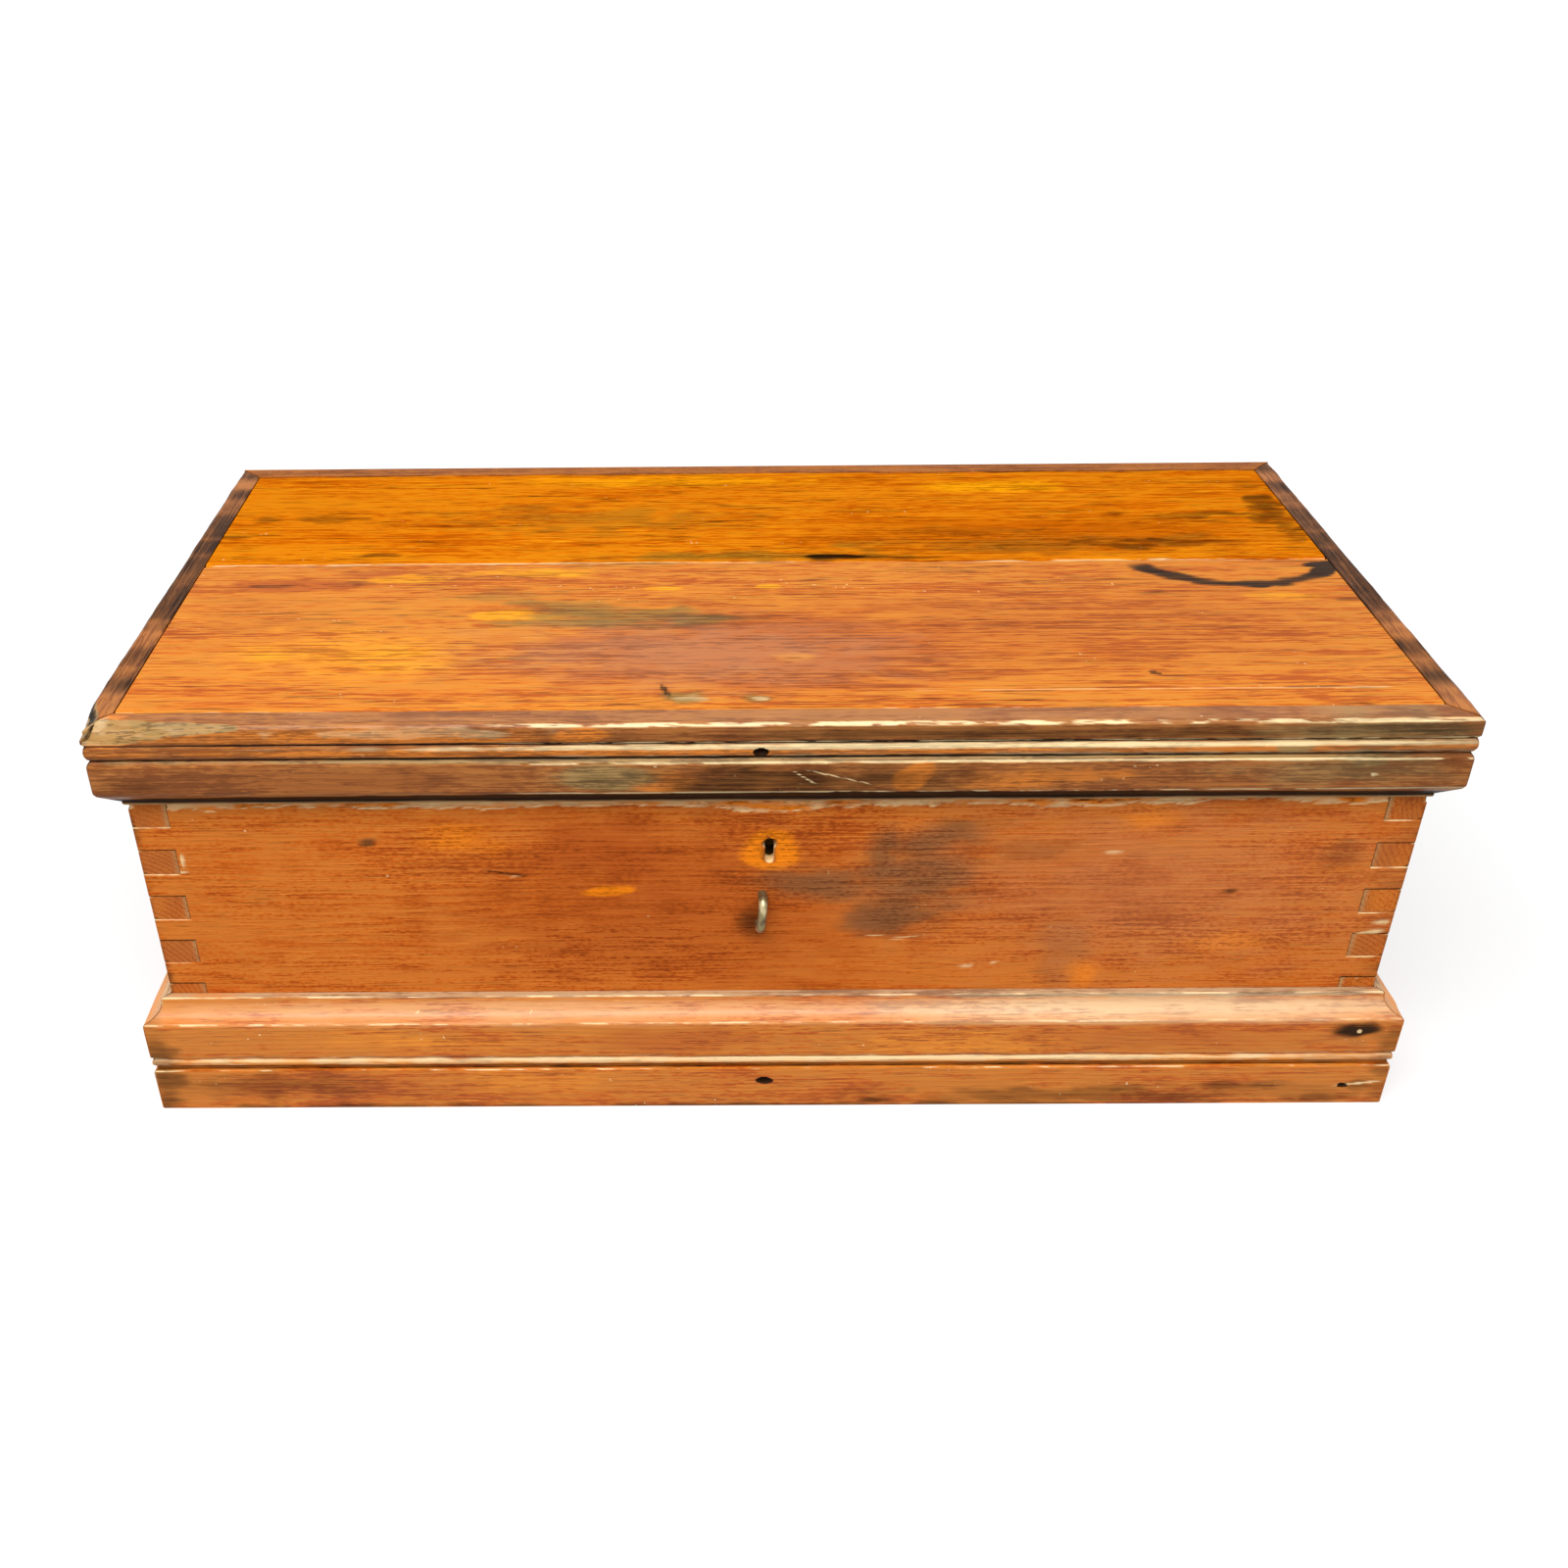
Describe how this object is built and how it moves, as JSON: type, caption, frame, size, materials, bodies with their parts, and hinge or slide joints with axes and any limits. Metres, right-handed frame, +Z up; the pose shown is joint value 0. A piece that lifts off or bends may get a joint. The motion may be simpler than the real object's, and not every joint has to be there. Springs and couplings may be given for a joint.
{
  "type": "tool chest",
  "caption": "Long low joiner's tool chest in stained pine with finger-jointed corners, a moulded plinth, a hinged moulded lid, a box lock, a hasp staple, end handles and a sliding till.",
  "frame": {"origin": "on the ground, under the middle of the chest", "axes": "+X along the front to the right, +Y to the back, +Z up"},
  "size_m": [0.7926, 0.3986, 0.2862],
  "materials": {
    "stained_pine": "worn red-brown stain over pine, satin",
    "lid_pine": "worn amber stain over pine, satin",
    "dark_moulding": "dark brown stain, worn pale on the arrises",
    "plinth_pine": "worn red-brown stain over pine, satin",
    "bare_pine": "unfinished aged pine",
    "wrought_iron": "dark aged iron",
    "lock_brass": "tarnished brass"
  },
  "bodies": {
    "carcase": {"front_board": "stained_pine", "back_board": "stained_pine", "left_end_board": "stained_pine", "right_end_board": "stained_pine", "bottom_board_1": "bare_pine", "bottom_board_2": "bare_pine", "bottom_board_3": "bare_pine", "bottom_board_4": "bare_pine", "bottom_board_5": "bare_pine", "plinth_front": "plinth_pine", "plinth_left": "plinth_pine", "plinth_right": "plinth_pine", "plinth_back": "plinth_pine", "till_runner_left": "bare_pine", "till_runner_right": "bare_pine", "lock_plate": "lock_brass", "lock_cap": "lock_brass", "lock_key_pin": "wrought_iron", "hasp_staple": "wrought_iron", "handle_plate_left": "wrought_iron", "handle_plate_right": "wrought_iron", "hinge_left_case_leaf": "wrought_iron", "hinge_right_case_leaf": "wrought_iron", "hinge_left_pin": "wrought_iron", "hinge_right_pin": "wrought_iron"},
    "lid": {"lid_front_board": "lid_pine", "lid_rear_board": "lid_pine", "lid_rail_front": "bare_pine", "lid_rail_back": "bare_pine", "lid_rail_left": "bare_pine", "lid_rail_right": "bare_pine", "lid_rim_front": "dark_moulding", "lid_rim_left": "dark_moulding", "lid_rim_right": "dark_moulding", "lid_rim_back": "dark_moulding", "lock_link_plate": "lock_brass", "hinge_left_lid_leaf": "wrought_iron", "hinge_right_lid_leaf": "wrought_iron"},
    "till": {"till_front": "bare_pine", "till_back": "bare_pine", "till_left_end": "bare_pine", "till_right_end": "bare_pine", "till_bottom": "bare_pine", "till_divider": "bare_pine"},
    "lock_bolt": {"lock_bolt": "wrought_iron"},
    "left_handle": {"handle_bail_left": "wrought_iron"},
    "right_handle": {"handle_bail_right": "wrought_iron"}
  },
  "joints": [
    {"name": "lid_hinge", "type": "hinge", "parent": "carcase", "child": "lid", "pos_m": [0, 0.1855, 0.22745], "axis": [-1, 0, 0], "range_deg": [0, 100]},
    {"name": "till_slide", "type": "slide", "parent": "carcase", "child": "till", "axis": [0, -1, 0], "range_m": [0, 0.168]},
    {"name": "lock_bolt_slide", "type": "slide", "parent": "carcase", "child": "lock_bolt", "axis": [1, 0, 0], "range_m": [0, 0.008]},
    {"name": "left_handle_swing", "type": "hinge", "parent": "carcase", "child": "left_handle", "pos_m": [-0.3898, 0, 0.1723], "axis": [0, 1, 0], "range_deg": [0, 90]},
    {"name": "right_handle_swing", "type": "hinge", "parent": "carcase", "child": "right_handle", "pos_m": [0.3898, 0, 0.1723], "axis": [0, -1, 0], "range_deg": [0, 90]}
  ]
}
